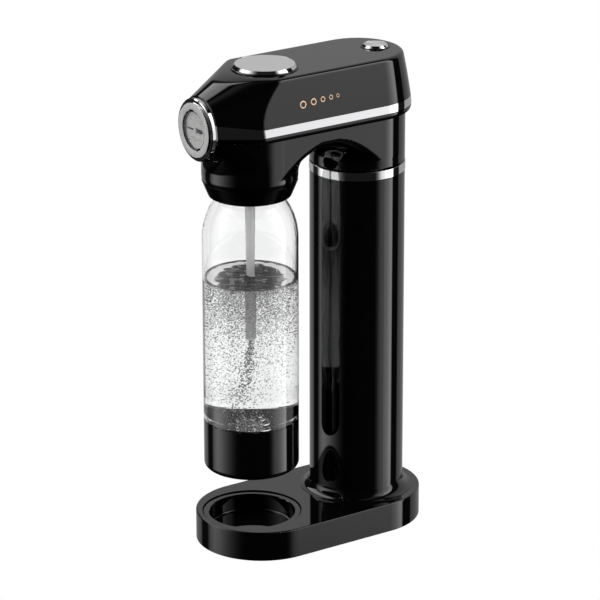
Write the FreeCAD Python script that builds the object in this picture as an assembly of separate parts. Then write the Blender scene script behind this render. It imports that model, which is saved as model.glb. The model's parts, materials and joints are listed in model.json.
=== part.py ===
import FreeCAD, Part
import math
import os
from FreeCAD import Vector

# Soda carbonator: a stadium-shaped base, a round column that holds the gas cylinder,
# and a head that reaches forward over the bottle. Millimetres, +Z up. The origin is on the
# surface it stands on, midway between the front and the rear; the gauge faces -Y.

# ---------------------------------------------------------------- driving dimensions
bottle_y = -55.0            # vertical axis of the bottle, the cup and the drip tray
column_y = 55.0             # vertical axis of the column and the gas cylinder
running_gap = 0.3           # space between pieces that move past each other

base_radius = 57.5          # end radius of the base outline
base_front_y = -44.5        # centre of the front end of the outline
base_rear_y = 53.0          # centre of the rear end of the outline
base_bottom = 1.5           # lower edge of the shell, above the standing surface
base_top = 27.5
base_wall = 2.5
plate_top = 4.0             # upper face of the plate that closes the base
foot_radius = 7.0
foot_height = 2.5
cylinder_hole_radius = 33.0  # the gas cylinder is loaded through this hole

tray_rim_radius = 42.8
tray_bowl_radius = 37.2
tray_wall = 1.6
tray_floor = 11.2
tray_rim_top = 26.4
tray_ledge = 24.4           # ledge in the base that carries the rim of the tray

column_radius = 41.0
column_bore = 38.3
column_top = 320.3
column_foot_flare = 8.5     # radius of the concave foot
ring_top = 328.0            # chrome ring between the column and the head
ring_radius = 41.4

gas_radius = 30.0
gas_bottom = 12.0
gas_wall = 3.5
gas_shoulder = 300.0
gas_neck_radius = 12.0
gas_neck_base = 330.0
gas_neck_top = 338.0
gas_valve_radius = 10.6
gas_valve_top = 358.5
gas_pin_top = 363.0

head_half_width = 46.0      # at the trim
head_widest_z = 382.0       # also the height of the gauge axis
head_top = 425.0
head_wall = 2.5
lip_gap = 0.2
lip_wall = 1.8
trim_low = 379.5
trim_high = 386.3
trim_flare_y = -68.0        # forward of this the trim widens towards the gauge
trim_flare_slope = 0.127
nose_y = -105.0             # flat face that carries the gauge
nose_radius = 27.5
nose_slope = 0.55           # growth of the nose cone's radius per millimetre of depth
head_skirt = 373.0          # underside of the lip below the trim
collar_radius = 41.2
cup_radius = 41.0
cup_wall = 2.5
cup_straight_base = 330.4   # below this the cup tapers in
cup_mouth = 316.4
cup_mouth_radius = 35.2
arch_radius = 22.0          # concave fillets between cup, collar and the underside
arch_top = 358.0
web_half_width = 41.3

gauge_z = head_widest_z
bezel_radius = 26.8
bezel_face_y = -110.5
dial_opening = 16.8
case_radius = 22.0
case_wall = 1.5
case_back_y = -84.0
dial_face_y = -102.5

carbonate_y = -39.5         # large button
carbonate_radius = 27.0
carbonate_top = 428.5
release_y = 73.3            # small button
release_radius = 11.3
release_top = 427.3
stem_radius = 5.0
guide_floor = 402.0

lever_pivot_y = 88.0
lever_pivot_z = 393.5
lever_low = 391.0
lever_high = 396.0
lever_half_width = 5.0
lever_pin_radius = 2.0
plunger_radius = 4.0
block_bore = 4.08
block_radius = 22.0
manifold_radius = 21.0
flange_low = 381.0          # flanges of valve block and nozzle block stand on the chassis
flange_high = 384.0
port_z = 370.0              # height of the gas ports

bottle_radius = 41.0
bottle_wall = 1.5
bottle_bottom = 70.5
bottle_cup_top = 114.8
bottle_shoulder = 277.0
bottle_dome_rise = 51.1     # vertical half-axis of the elliptical shoulder
bottle_neck_radius = 19.0
bottle_neck_wall = 2.0
bottle_mouth = 346.0
bottle_foot_radius = 38.8   # the bottle is narrower inside its base cup
lug_radius = 24.0
lug_low = 335.0
lug_high = 338.0
lug_sweep = 36.0
bayonet_steps = 3

screw_radius = 1.4
screw_hole = 1.6
screw_head = 3.0


# ---------------------------------------------------------------- shape helpers
def cylinder(radius, z0, z1, y=0.0, x=0.0):
    return Part.makeCylinder(radius, z1 - z0, Vector(x, y, z0))


def tube(outer, inner, z0, z1, y=0.0, x=0.0):
    return cylinder(outer, z0, z1, y, x).cut(cylinder(inner, z0 - 1, z1 + 1, y, x))


def cylinder_y(radius, y0, y1, z, x=0.0):
    return Part.makeCylinder(radius, y1 - y0, Vector(x, y0, z), Vector(0, 1, 0))


def box(x0, x1, y0, y1, z0, z1):
    return Part.makeBox(x1 - x0, y1 - y0, z1 - z0, Vector(x0, y0, z0))


def stadium(radius, y0, y1, z0, z1):
    """Prism with two round ends, centred at y0 and y1."""
    right = Part.LineSegment(Vector(radius, y0, z0), Vector(radius, y1, z0)).toShape()
    rear = Part.Arc(Vector(radius, y1, z0), Vector(0, y1 + radius, z0), Vector(-radius, y1, z0)).toShape()
    left = Part.LineSegment(Vector(-radius, y1, z0), Vector(-radius, y0, z0)).toShape()
    front = Part.Arc(Vector(-radius, y0, z0), Vector(0, y0 - radius, z0), Vector(radius, y0, z0)).toShape()
    face = Part.Face(Part.Wire([right, rear, left, front]))
    return face.extrude(Vector(0, 0, z1 - z0))


def outline(steps, place):
    """Closed wire. A step is a point, or (point on the arc, end of the arc), or a list of spline points."""
    edges = []
    here = place(*steps[0])
    start = here
    for step in steps[1:] + [steps[0]]:
        if isinstance(step, list):
            points = [here] + [place(*point) for point in step]
            curve = Part.BSplineCurve()
            curve.interpolate(points)
            edges.append(curve.toShape())
            here = points[-1]
        elif isinstance(step[0], tuple):
            end = place(*step[1])
            edges.append(Part.Arc(here, place(*step[0]), end).toShape())
            here = end
        else:
            end = place(*step)
            if end.distanceToPoint(here) > 1e-6:
                edges.append(Part.LineSegment(here, end).toShape())
            here = end
    if here.distanceToPoint(start) > 1e-6:
        edges.append(Part.LineSegment(here, start).toShape())
    return Part.Wire(edges)


def lathe(steps, y):
    """Solid turned about the vertical axis at y from an outline of (radius, height)."""
    wire = outline(steps, lambda r, z: Vector(r, y, z))
    return Part.Face(wire).revolve(Vector(0, y, 0), Vector(0, 0, 1), 360)


def lathe_gauge(steps):
    """Solid turned about the gauge axis from an outline of (radius, y)."""
    wire = outline(steps, lambda r, y: Vector(r, y, gauge_z))
    return Part.Face(wire).revolve(Vector(0, 0, gauge_z), Vector(0, 1, 0), 360)


def side_prism(points, x0, x1):
    """Prism along X from a polygon of (y, z)."""
    wire = outline(points, lambda y, z: Vector(x0, y, z))
    return Part.Face(wire).extrude(Vector(x1 - x0, 0, 0))


def sector(outer, inner, z0, z1, y, middle, sweep):
    """Ring segment about the vertical axis at y."""
    ring = Part.makeCylinder(outer, z1 - z0, Vector(0, y, z0), Vector(0, 0, 1), sweep)
    ring.rotate(Vector(0, y, 0), Vector(0, 0, 1), middle - sweep / 2.0)
    return ring.cut(cylinder(inner, z0 - 1, z1 + 1, y))


def fuse_all(shapes):
    return shapes[0].multiFuse(shapes[1:]).removeSplitter()


def hose(points, radius):
    """Round hose along straight runs joined by arcs as large as the runs allow."""
    edges = []
    here = points[0]
    for before, corner, after in zip(points, points[1:], points[2:]):
        to_before = (before - corner).normalize()
        to_after = (after - corner).normalize()
        half_turn = (math.pi - to_before.getAngle(to_after)) / 2.0
        reach = 0.45 * min(before.distanceToPoint(corner), after.distanceToPoint(corner))
        arc_radius = reach / math.tan(half_turn)
        arc_start = corner + to_before * reach
        arc_end = corner + to_after * reach
        to_centre = (to_before + to_after).normalize()
        middle = corner + to_centre * (math.hypot(reach, arc_radius) - arc_radius)
        edges.append(Part.LineSegment(here, arc_start).toShape())
        edges.append(Part.Arc(arc_start, middle, arc_end).toShape())
        here = arc_end
    edges.append(Part.LineSegment(here, points[-1]).toShape())
    path = Part.Wire(edges)
    start_direction = (points[1] - points[0]).normalize()
    circle = Part.makeCircle(radius, points[0], start_direction)
    solid = path.makePipeShell([Part.Wire([circle])], True, False)
    wanted = math.pi * radius ** 2 * path.Length
    print("hose length %.1f, volume ratio %.4f" % (path.Length, solid.Volume / wanted))
    return solid


def coil_spring(radius, wire_radius, z0, z1, turns, y):
    """Compression spring: a round wire on a helix."""
    helix = Part.makeHelix((z1 - z0 - 2 * wire_radius) / turns, z1 - z0 - 2 * wire_radius, radius)
    circle = Part.makeCircle(wire_radius, Vector(radius, 0, 0), Vector(0, 1, 0))
    spring = Part.Wire(helix.Edges).makePipeShell([Part.Wire([circle])], True, True)
    spring.translate(Vector(0, y, z0 + wire_radius))
    return spring


def screw(x, y, z_head, z_tip, head_height=1.6):
    """Pan-head screw; the head is at z_head and the tip at z_tip."""
    shank = cylinder(screw_radius, min(z_head, z_tip), max(z_head, z_tip), y, x)
    if z_tip > z_head:
        head = cylinder(screw_head, z_head - head_height, z_head, y, x)
    else:
        head = cylinder(screw_head, z_head, z_head + head_height, y, x)
    return shank.fuse(head).removeSplitter()


def mirrored(places):
    return [(x, y) for x, y in places] + [(-x, y) for x, y in places]


def around(radius, y, count, first):
    """Places on a circle about the vertical axis at y."""
    angles = [math.radians(first + 360.0 * i / count) for i in range(count)]
    return [(radius * math.cos(a), y + radius * math.sin(a)) for a in angles]


# ---------------------------------------------------------------- base
base_screw_places = mirrored([(36.0, 86.0), (49.0, 20.0), (49.0, -18.0)])
foot_places = mirrored([(40.0, 66.0), (38.0, -70.0)])
column_screw_places = around(36.0, column_y, 3, 30.0)
boss_radius = 4.0
plate_screw_face = 3.0


def base_outline(inset, z0, z1):
    return stadium(base_radius - inset, base_front_y, base_rear_y, z0, z1)


def make_base_shell():
    outer = base_outline(0.0, base_bottom, base_top)
    top_edges = [edge for edge in outer.Edges if edge.BoundBox.ZMin > base_top - 0.1]
    outer = outer.makeFillet(1.2, top_edges)
    shell = outer.cut(base_outline(base_wall, base_bottom - 1, base_top - base_wall))
    pocket_wall = tray_rim_radius + 0.4
    ledge_low = tray_ledge - base_wall
    shell = shell.fuse(cylinder(pocket_wall + 2.0, ledge_low, base_top - 1.0, bottle_y).common(outer))
    shell = shell.cut(cylinder(pocket_wall, tray_ledge, base_top + 1, bottle_y))
    shell = shell.cut(cylinder(tray_bowl_radius + tray_wall + 0.6, ledge_low - 1, base_top, bottle_y))
    for x, y in base_screw_places:
        shell = shell.fuse(cylinder(boss_radius, plate_top, base_top - 1.0, y, x))
        shell = shell.cut(cylinder(screw_radius + 0.05, plate_top - 1, 16.0, y, x))
    shell = shell.cut(cylinder(cylinder_hole_radius, 0, base_top + 1, column_y))
    for x, y in column_screw_places:
        shell = shell.cut(cylinder(screw_hole, 20, base_top + 1, y, x))
    return shell.removeSplitter()


def make_base_plate():
    plate = base_outline(base_wall + 0.2, base_bottom, plate_top)
    plate = plate.cut(cylinder(cylinder_hole_radius, 0, 10, column_y))
    for x, y in base_screw_places:
        plate = plate.cut(cylinder(screw_hole, 0, 10, y, x))
        plate = plate.cut(cylinder(screw_head + 0.2, 0, plate_screw_face, y, x))
    for x, y in foot_places:
        plate = plate.cut(cylinder(foot_radius + 0.1, 0, foot_height, y, x))
    return plate


def make_rubber_feet():
    feet = []
    for x, y in foot_places:
        foot = cylinder(foot_radius, 0, foot_height, y, x)
        lower = [edge for edge in foot.Edges if edge.BoundBox.ZMax < 0.1]
        feet.append(foot.makeChamfer(0.5, lower))
    return Part.makeCompound(feet)


def make_base_screws():
    return Part.makeCompound([screw(x, y, plate_screw_face, 14.0, 1.4) for x, y in base_screw_places])


def make_drip_tray():
    bowl = tray_bowl_radius
    outer = bowl + tray_wall
    profile = [(0, tray_floor - tray_wall), (outer - 2.4, tray_floor - tray_wall), (outer, 12.0),
               (outer, tray_ledge), (tray_rim_radius, tray_ledge), (tray_rim_radius, tray_rim_top - 0.8),
               (tray_rim_radius - 0.8, tray_rim_top), (bowl + 0.5, tray_rim_top),
               (bowl, tray_rim_top - 0.5), (bowl, tray_floor + 2.0),
               ((bowl - 0.6, tray_floor + 0.6), (bowl - 2.0, tray_floor)), (0, tray_floor)]
    return lathe(profile, bottle_y)


# ---------------------------------------------------------------- column
def make_column_tube():
    foot = column_radius + column_foot_flare
    edge = base_top + 0.3
    swing = column_foot_flare * (1 - math.sqrt(0.5))
    profile = [(cylinder_hole_radius, base_top), (foot, base_top), (foot, edge),
               ((column_radius + swing, edge + swing), (column_radius, edge + column_foot_flare)),
               (column_radius, column_top), (column_bore, column_top), (column_bore, base_top + 4.5),
               (cylinder_hole_radius, base_top + 4.5)]
    column = lathe(profile, column_y)
    for x, y in column_screw_places:
        column = column.cut(cylinder(screw_radius + 0.05, base_top - 1, base_top + 4.0, y, x))
    return column


def make_column_screws():
    face = base_top - base_wall
    return Part.makeCompound([screw(x, y, face, base_top + 3.6) for x, y in column_screw_places])


def make_cylinder_guide():
    """Ring with three ribs that keeps the gas cylinder in the middle of the column."""
    ring = tube(gas_radius + 3.0, gas_radius + 0.6, 60.0, 72.0, column_y)
    ribs = []
    for x, y in around(1.0, 0.0, 3, 90.0):
        rib = box(gas_radius + 2.0, column_bore - 0.1, -2.0, 2.0, 60.0, 72.0)
        rib.rotate(Vector(0, 0, 0), Vector(0, 0, 1), math.degrees(math.atan2(y, x)))
        rib.translate(Vector(0, column_y, 0))
        ribs.append(rib.common(cylinder(column_bore - 0.1, 60.0, 72.0, column_y)))
    return fuse_all([ring] + ribs)


def make_column_ring():
    ring = tube(ring_radius, column_bore + 0.1, column_top, ring_top, column_y)
    outer = [edge for edge in ring.Edges if edge.BoundBox.XMax > ring_radius - 0.01 and
             edge.BoundBox.ZLength < 0.1]
    return ring.makeFillet(0.35, outer)


def make_gas_cylinder_body():
    inner = gas_radius - gas_wall
    neck_bore = gas_neck_radius - 3.0
    rise = gas_neck_base - gas_shoulder

    def shoulder(radius, neck, height, steps=6):
        """Quarter ellipse from the wall to the neck."""
        points = []
        for i in range(1, steps + 1):
            angle = math.pi / 2 * i / steps
            points.append((neck + (radius - neck) * math.cos(angle), gas_shoulder + height * math.sin(angle)))
        return points

    outer_curve = shoulder(gas_radius, gas_neck_radius, rise)
    inner_curve = shoulder(inner, neck_bore, rise - gas_wall)
    back_curve = inner_curve[::-1][1:] + [(inner, gas_shoulder)]
    profile = [(0, gas_bottom), (gas_radius - 7, gas_bottom),
               ((gas_radius - 2.05, gas_bottom + 2.05), (gas_radius, gas_bottom + 7)),
               (gas_radius, gas_shoulder), outer_curve, (gas_neck_radius, gas_neck_top),
               (neck_bore, gas_neck_top), inner_curve[-1], back_curve,
               (inner, gas_bottom + 8), ((inner - 1.5, gas_bottom + 5), (inner - 5, gas_bottom + gas_wall)),
               (0, gas_bottom + gas_wall)]
    return lathe(profile, column_y)


def make_gas_cylinder_valve():
    """Valve screwed into the neck, with its pin on top; the threads are plain cylinders."""
    stub = gas_neck_radius - 3.0 - 0.05
    profile = [(0, gas_neck_base), (stub, gas_neck_base), (stub, gas_neck_top), (13.0, gas_neck_top),
               (13.0, gas_neck_top + 6), (12.0, gas_neck_top + 7), (9.4, gas_neck_top + 7),
               (9.4, gas_neck_top + 9), (gas_valve_radius, gas_neck_top + 10),
               (gas_valve_radius, gas_valve_top - 0.8), (gas_valve_radius - 0.8, gas_valve_top),
               (2.0, gas_valve_top), (2.0, gas_pin_top), (0, gas_pin_top)]
    return lathe(profile, column_y)


# ---------------------------------------------------------------- head envelope
def head_section(inset, low):
    """Half section of the head, from its middle plane to its side."""
    side = head_half_width - inset
    top = head_top - inset
    return [(0, low), (side - 4.5, low), ((side - 1.3, low + 1.3), (side, low + 4.5)),
            (side, head_widest_z), ((side - 3.1, 401.9 - inset / 2), (side - 6.8, top - 3.2)),
            ((side - 7.9, top - 0.8), (side - 10.4, top)), (0, top)]


def nose_cone(inset, back_y=-50.0):
    """Cone about the gauge axis that cuts the front of the head."""
    front_y = nose_y + inset
    front_radius = nose_radius - inset + nose_slope * inset
    back_radius = front_radius + nose_slope * (back_y - front_y)
    return Part.makeCone(front_radius, back_radius, back_y - front_y, Vector(0, front_y, gauge_z),
                         Vector(0, 1, 0))


def head_body(inset, low=head_skirt):
    """Head from the skirt to the top, drawn in by an inset for the inner faces."""
    steps = head_section(inset, low)
    half = Part.Face(outline(steps, lambda x, z: Vector(x, column_y, z)))
    rear = half.revolve(Vector(0, column_y, 0), Vector(0, 0, 1), 180)
    other = half.mirror(Vector(0, 0, 0), Vector(1, 0, 0))
    length = Vector(0, nose_y - 1 - column_y, 0)
    bar = fuse_all([half.extrude(length), other.extrude(length), rear])
    keep = nose_cone(inset).fuse(box(-60, 60, -50.0, 120, 340, 440))
    return bar.common(keep)


def trim_line(side):
    """Points along the upper (+1) or lower (-1) edge of the trim, from the front to the rear."""
    level = trim_high if side > 0 else trim_low
    front_y = nose_y - 10
    return [(front_y, level + side * trim_flare_slope * (trim_flare_y - front_y)), (trim_flare_y, level),
            (120.0, level)]


def above_trim():
    return side_prism(trim_line(1) + [(120.0, 450.0), (nose_y - 10, 450.0)], -60, 60)


def below_trim():
    return side_prism(trim_line(-1) + [(120.0, 300.0), (nose_y - 10, 300.0)], -60, 60)


def between_trim():
    return side_prism(trim_line(1) + trim_line(-1)[::-1], -60, 60)


chassis_screw_places = mirrored([(33.0, 26.0), (33.0, -26.0)])
cover_screw_places = mirrored([(30.0, 0.0)])
chassis_low = 378.5
cover_boss_low = 384.3
cover_screw_seat = 366.0


def make_head_top_cover():
    """Upper cover of the head, with holes for the two buttons and bosses for its screws."""
    cover = head_skin.common(above_trim())
    for x, y in cover_screw_places:
        cover = cover.fuse(cylinder(boss_radius, cover_boss_low, head_top - 1.0, y, x))
        cover = cover.cut(cylinder(screw_radius + 0.05, cover_boss_low - 1, 397.0, y, x))
    cover = cover.cut(cylinder(carbonate_radius + 1.7, 415, 430, carbonate_y))
    cover = cover.cut(cylinder(release_radius + 1.5, 415, 430, release_y))
    return cover.cut(cylinder_y(case_radius + 0.3, nose_y - 5, nose_y + 6, gauge_z))


def make_head_trim():
    """Bright band round the head that widens towards the gauge."""
    band = head_skin.common(between_trim())
    return band.cut(cylinder_y(case_radius + 0.3, nose_y - 5, nose_y + 6, gauge_z))


def arch_flare(radius, y):
    """Concave ring that blends a vertical cylinder into the underside of the head."""
    swing = arch_radius * (1 - math.sqrt(0.5))
    low = arch_top - arch_radius
    profile = [(radius - 3, low), (radius, low),
               ((radius + swing, arch_top - swing), (radius + arch_radius, arch_top)),
               (radius + arch_radius, arch_top + 1), (radius - 3, arch_top + 1)]
    return lathe(profile, y)


def make_head_lower_shell():
    """Lower shell: collar over the column, arch, cup over the bottle's neck and the lower nose."""
    inner_wall = head_wall + lip_gap + lip_wall
    web = stadium(web_half_width, bottle_y, column_y, arch_top, head_skirt + 1)
    flares = arch_flare(cup_radius, bottle_y).fuse(arch_flare(collar_radius, column_y))
    flares = flares.common(stadium(web_half_width, bottle_y, column_y, 300, 400))
    cup = cylinder(cup_radius, cup_straight_base, head_skirt + 1, bottle_y)
    taper = Part.makeCone(cup_mouth_radius, cup_radius, cup_straight_base - cup_mouth,
                          Vector(0, bottle_y, cup_mouth))
    collar = cylinder(collar_radius, ring_top, head_skirt + 1, column_y)
    inner_half = web_half_width - cup_wall
    nose_room = box(-web_half_width, web_half_width, -110, bottle_y, 340, head_skirt + 1)
    lower_nose = nose_cone(0).common(nose_room)
    skirt = head_body(0).common(below_trim())
    shell = fuse_all([skirt, web, flares, cup, taper, collar, lower_nose])

    floor = arch_top + 3.5
    inner_taper = Part.makeCone(cup_mouth_radius - cup_wall, cup_radius - cup_wall,
                                cup_straight_base - cup_mouth, Vector(0, bottle_y, cup_mouth))
    space = [cylinder(cup_radius - cup_wall, cup_straight_base, floor + 1, bottle_y), inner_taper,
             cylinder(collar_radius - cup_wall, ring_top + 2.5, floor + 1, column_y),
             cylinder(36.0, ring_top - 1, ring_top + 3, column_y),
             stadium(inner_half, bottle_y, column_y, floor, head_skirt + 3),
             nose_cone(head_wall).common(box(-inner_half, inner_half, -110, bottle_y, 340, head_skirt + 3)),
             head_body(inner_wall, head_skirt + 2)]
    for hollow in space:
        shell = shell.cut(hollow)

    lip = head_body(head_wall + lip_gap).cut(head_body(inner_wall, head_skirt - 2))
    lip = lip.common(box(-60, 60, -120, 120, head_skirt + 3, trim_high + 3.5))
    spigot = tube(column_bore - 0.1, 36.0, column_top - 8, ring_top + 1, column_y)
    shell = fuse_all([shell, lip, spigot])
    for x, y in chassis_screw_places:
        shell = shell.fuse(cylinder(boss_radius, floor - 1, chassis_low, y, x))
        shell = shell.cut(cylinder(screw_radius + 0.05, 366, chassis_low + 1, y, x))
    for x, y in cover_screw_places:
        shell = shell.fuse(cylinder(boss_radius + 0.8, floor - 1, cover_boss_low - 0.3, y, x))
        shell = shell.cut(cylinder(screw_hole, 340, cover_boss_low + 1, y, x))
        shell = shell.cut(cylinder(screw_head + 0.3, 340, cover_screw_seat, y, x))
    return shell.cut(cylinder_y(case_radius + 0.3, nose_y - 5, nose_y + 8, gauge_z))


# ---------------------------------------------------------------- inside the head
def make_head_chassis():
    """Steel plate that carries the valve block, the nozzle block and the lever bracket."""
    plate = stadium(38.0, -42.0, column_y, chassis_low, flange_low)
    plate = plate.cut(cylinder(manifold_radius + 0.3, 370, 390, bottle_y))
    plate = plate.cut(cylinder(block_radius + 0.3, 370, 390, column_y))
    for x, y in cover_screw_places:
        plate = plate.cut(cylinder(boss_radius + 1.5, 370, 390, y, x))
    for x, y in chassis_screw_places:
        plate = plate.cut(cylinder(screw_hole, 370, 390, y, x))
    return plate


def make_head_screws():
    """Screws that hold the chassis, then the long ones that hold the top cover."""
    short = [screw(x, y, flange_low, 367.0) for x, y in chassis_screw_places]
    long = [screw(x, y, cover_screw_seat, 396.0) for x, y in cover_screw_places]
    return Part.makeCompound(short + long)


def make_lever_bracket():
    cheek = side_prism([(83.0, flange_low), (93.0, flange_low), (93.0, lever_pivot_z),
                        ((88.0, lever_pivot_z + 5.0), (83.0, lever_pivot_z))], 6.0, 8.0)
    other = cheek.mirror(Vector(0, 0, 0), Vector(1, 0, 0))
    foot = box(-8.0, 8.0, 83.0, 93.0, flange_low, flange_low + 2.0)
    bracket = fuse_all([cheek, other, foot])
    hole = Part.makeCylinder(lever_pin_radius, 30, Vector(-15, lever_pivot_y, lever_pivot_z), Vector(1, 0, 0))
    return bracket.cut(hole)


def make_lever_pin():
    end = Vector(-9, lever_pivot_y, lever_pivot_z)
    return Part.makeCylinder(lever_pin_radius, 18.0, end, Vector(1, 0, 0))


def make_valve_lever():
    """Long lever: the button's stem pushes its front end, its middle pushes the plunger."""
    half = lever_half_width
    arm = box(-half, half, carbonate_y - 6.0, lever_pivot_y, lever_low, lever_high)
    eye = Part.makeCylinder(4.5, 2 * half, Vector(-half, lever_pivot_y, lever_pivot_z), Vector(1, 0, 0))
    bore = Part.makeCylinder(lever_pin_radius + 0.05, 30, Vector(-15, lever_pivot_y, lever_pivot_z),
                             Vector(1, 0, 0))
    slot = box(-1.6, 1.6, -25.0, 40.0, lever_low - 1, lever_high + 1)
    return arm.fuse(eye).cut(bore).cut(slot).removeSplitter()


def make_valve_block():
    """Brass block that the gas cylinder screws into; its plunger opens the cylinder's valve."""
    block = fuse_all([cylinder(block_radius, 350.0, flange_low + 1, column_y),
                      cylinder(26.5, flange_low, flange_high, column_y),
                      cylinder(12.0, flange_high - 1, 386.0, column_y)])
    block = block.cut(cylinder(gas_valve_radius + 0.4, 340.0, 361.0, column_y))
    block = block.cut(cylinder(block_bore, 350.0, 390.0, column_y))
    return block.cut(cylinder_y(1.8, column_y - block_radius - 1, column_y, port_z))


def make_cylinder_seal():
    return tube(gas_valve_radius + 0.3, 5.2, gas_valve_top + 0.3, 361.0, column_y)


def make_valve_plunger():
    return lathe([(0, 364.9), (3.2, 364.9), (plunger_radius, 365.7), (plunger_radius, lever_low - 1.0),
                  (plunger_radius - 0.7, lever_low - running_gap), (0, lever_low - running_gap)], column_y)


def make_nozzle_block():
    """Block above the bottle: gas in from the rear, gauge in front, pressure relief on top."""
    seat = bottle_mouth + 3.0
    block = fuse_all([cylinder(manifold_radius, seat, flange_low + 1, bottle_y),
                      cylinder(26.5, flange_low, flange_high, bottle_y)])
    block = block.cut(cylinder(4.6, seat - 1, seat + 8, bottle_y))
    block = block.cut(cylinder(1.8, seat, port_z, bottle_y))
    block = block.cut(cylinder_y(1.8, bottle_y, bottle_y + manifold_radius + 1, port_z))
    front = bottle_y - manifold_radius
    block = block.cut(cylinder_y(4.02, front - 1, front + 4, port_z))
    block = block.cut(cylinder_y(1.8, bottle_y - manifold_radius, bottle_y, port_z))
    return block.cut(cylinder(1.8, port_z, flange_high + 1, -52.0, -16.0))


def make_carbonation_tube():
    """Tapered tube with a fine bore that carries the gas down into the water."""
    return lathe([(1.2, 190.0), (2.9, 190.0), (3.3, 192.0), (3.5, 243.0), (4.5, 316.0), (4.5, 356.0),
                  (1.2, 356.0)], bottle_y)


def make_bottle_seal():
    return tube(bottle_neck_radius + 0.3, 12.0, bottle_mouth + 0.4, bottle_mouth + 3.0, bottle_y)


def make_socket_flange():
    """Fixed bayonet ring: three tabs hold the bottle's lugs once it has been turned."""
    flange = tube(cup_radius - cup_wall - 0.1, 20.2, cup_straight_base + 0.2, 333.6, bottle_y)
    for i in range(bayonet_steps):
        gap = sector(lug_radius + 0.8, 10.0, 325.0, 340.0, bottle_y, 90.0 + 120.0 * i, lug_sweep + 16.0)
        flange = flange.cut(gap)
    return flange


def make_lock_ring():
    """Ring that turns with the bottle; its keyways take the three lugs from below."""
    ring = tube(36.8, bottle_neck_radius + 0.6, 334.2, 343.5, bottle_y)
    for i in range(bayonet_steps):
        middle = 90.0 + 120.0 * i
        key = sector(lug_radius + 0.6, 10.0, 330.0, lug_high + 0.6, bottle_y, middle, lug_sweep + 5.0)
        ring = ring.cut(key)
    return ring


def make_relief_valve():
    body = lathe([(0, 398.0), (6.0, 398.0), (6.0, 400.0), (9.0, 400.0), (9.0, 411.4), (3.2, 411.4),
                  (3.2, 404.5), (0, 404.5)], release_y)
    return body.cut(Part.makeCylinder(1.5, 12, Vector(-12, release_y, 402.0), Vector(1, 0, 0)))


def make_gas_hose():
    rear = column_y - block_radius - 0.1
    front = bottle_y + manifold_radius + 0.1
    points = [Vector(0, rear, port_z), Vector(0, 20, port_z), Vector(6, 0, port_z + 1.5),
              Vector(0, -20, port_z), Vector(0, front, port_z)]
    return hose(points, 3.0)


def make_vent_hose():
    points = [Vector(-16, -52, flange_high + 0.05), Vector(-16, -52, 395.0), Vector(-18, -20, 394.0),
              Vector(-19, 30, 396.0), Vector(-22, release_y, 402.0), Vector(-9.15, release_y, 402.0)]
    return hose(points, 2.2)


# ---------------------------------------------------------------- buttons
def make_button_guide():
    """Cup under the large button with a bush for its stem."""
    wall = carbonate_radius + 1.3
    top = head_top - head_wall - 0.1
    guide = lathe([(stem_radius + 0.08, guide_floor - 3.5), (8.0, guide_floor - 3.5), (8.0, guide_floor),
                   (wall + 1.7, guide_floor), (wall + 1.7, top), (wall, top), (wall, guide_floor + 2.5),
                   (stem_radius + 0.08, guide_floor + 2.5)], carbonate_y)
    return guide


def make_carbonate_bezel():
    return tube(carbonate_radius + 1.6, carbonate_radius + 0.4, head_top - head_wall + 0.1, head_top + 0.6,
                carbonate_y)


def make_carbonate_button():
    """Disc that the finger presses, with a bevelled rim."""
    low = head_top - 2.8
    r = carbonate_radius
    top = carbonate_top
    return lathe([(0, low), (r, low), (r, top - 1.3), (r - 1.3, top - 0.15), (r - 2.2, top), (0, top)],
                 carbonate_y)


def make_carbonate_stem():
    under = head_top - 2.8
    return lathe([(0, lever_high + running_gap), (stem_radius - 1.5, lever_high + running_gap),
                  (stem_radius, lever_high + 1.8), (stem_radius, under - 2.5), (25.0, under - 2.5),
                  (25.0, under), (0, under)], carbonate_y)


def make_carbonate_spring():
    return coil_spring(11.0, 0.7, guide_floor + 2.6, head_top - 5.4, 4, carbonate_y)


def make_release_guide():
    wall = release_radius + 1.1
    top = head_top - head_wall - 0.1
    return lathe([(2.58, 411.6), (wall + 1.7, 411.6), (wall + 1.7, top), (wall, top), (wall, 413.6),
                  (2.58, 413.6)], release_y)


def make_release_bezel():
    return tube(release_radius + 1.4, release_radius + 0.4, head_top - head_wall + 0.1, head_top + 0.5,
                release_y)


def make_release_button():
    low = head_top - 3.8
    r = release_radius
    top = release_top
    return lathe([(0, low), (r, low), (r, top - 0.9), (r - 0.9, top), (0, top)], release_y)


def make_release_stem():
    under = head_top - 3.8
    return lathe([(0, 408.0), (2.5, 408.0), (2.5, under), (0, under)], release_y)


def make_release_spring():
    return coil_spring(6.0, 0.45, 413.7, head_top - 3.9, 4, release_y)


# ---------------------------------------------------------------- gauge
needle_rise = -2.0          # degrees above level at which the needle points, to the left


def make_gauge_case():
    inner = case_radius - case_wall
    case = lathe_gauge([(0, case_back_y), (case_radius, case_back_y), (case_radius, nose_y - 1.0),
                        (inner, nose_y - 1.0), (inner, case_back_y - case_wall),
                        (0, case_back_y - case_wall)])
    return case


def make_gauge_bezel():
    r = bezel_radius
    face = bezel_face_y
    return lathe_gauge([(case_radius + 0.2, nose_y), (r - 0.5, nose_y), (r, nose_y - 0.5), (r, -108.2),
                        (r - 0.8, -109.0), (23.6, -109.0), (23.3, -109.4), (23.3, face + 0.4),
                        (22.9, face), (dial_opening + 0.6, face), (dial_opening, face + 0.6),
                        (dial_opening, -106.4), (case_radius + 0.2, -106.4)])


def make_gauge_lens():
    return cylinder_y(case_radius - case_wall - 0.1, -106.2, -105.0, gauge_z)


def make_gauge_dial():
    dial = cylinder_y(case_radius - case_wall - 0.1, dial_face_y, dial_face_y + 1.0, gauge_z)
    return dial.cut(cylinder_y(1.0, -110, -90, gauge_z))


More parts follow.
